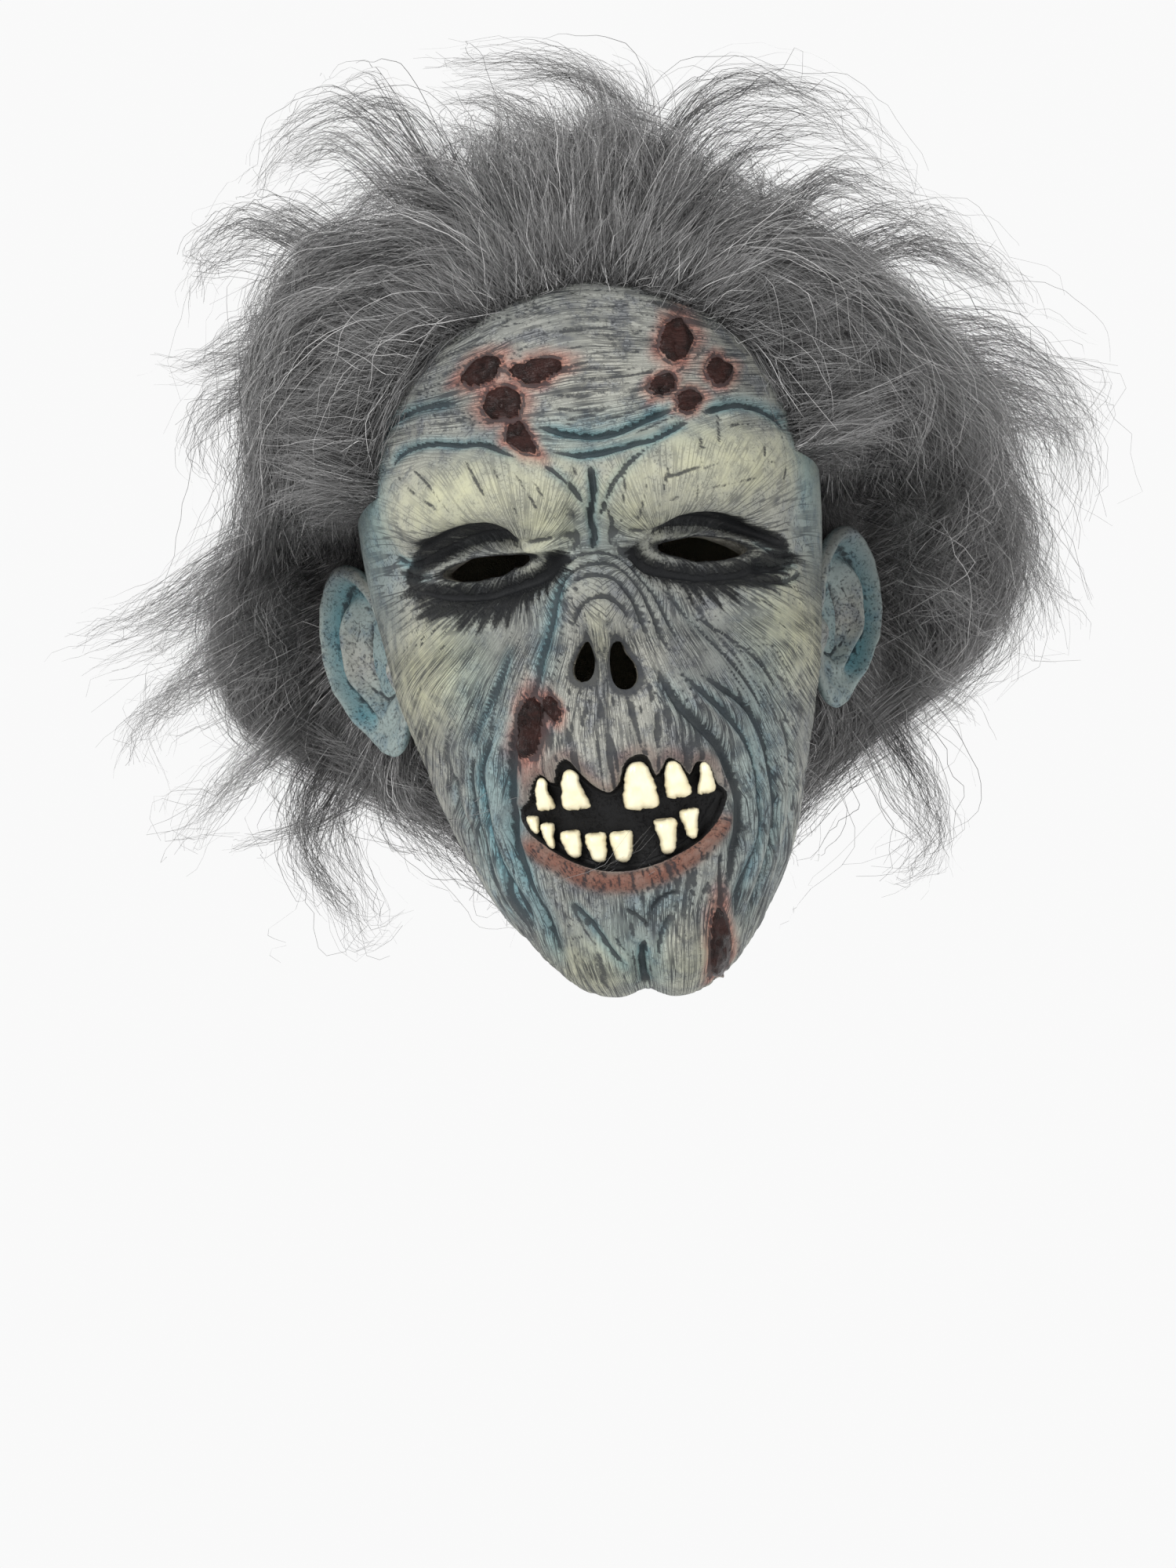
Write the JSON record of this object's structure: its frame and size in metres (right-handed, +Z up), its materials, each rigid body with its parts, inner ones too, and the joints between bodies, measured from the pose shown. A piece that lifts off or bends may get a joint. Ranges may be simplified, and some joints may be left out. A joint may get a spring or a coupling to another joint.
{
  "type": "latex halloween mask",
  "caption": "Over-the-head latex zombie mask with slit eye holes, open nostrils, ears, separate teeth and a wild shock of long grey fur hair.",
  "frame": {"origin": "the point inside the crown where the mask sits on the top of the wearer's head", "axes": "+Z up as worn, -Y the way the face looks, +X towards the wearer's left ear"},
  "size_m": [0.3204, 0.2619, 0.286],
  "materials": {
    "latex": "painted matt latex, grey green with dark wash in its creases",
    "ear_latex": "painted matt latex",
    "tooth_enamel": "gloss ivory paint",
    "grey_fur": "long frizzy synthetic pile"
  },
  "bodies": {
    "root": {"latex_skin": "latex", "left_ear": "ear_latex", "right_ear": "ear_latex", "upper_tooth_1": "tooth_enamel", "upper_tooth_2": "tooth_enamel", "upper_tooth_3": "tooth_enamel", "upper_tooth_4": "tooth_enamel", "upper_tooth_5": "tooth_enamel", "lower_tooth_1": "tooth_enamel", "lower_tooth_2": "tooth_enamel", "lower_tooth_3": "tooth_enamel", "lower_tooth_4": "tooth_enamel", "lower_tooth_5": "tooth_enamel", "lower_tooth_6": "tooth_enamel", "lower_tooth_7": "tooth_enamel", "front_fur_tuft": "grey_fur", "crown_fur_panel": "grey_fur", "back_fur_panel": "grey_fur", "left_fur_panel": "grey_fur", "right_fur_panel": "grey_fur"}
  },
  "joints": []
}
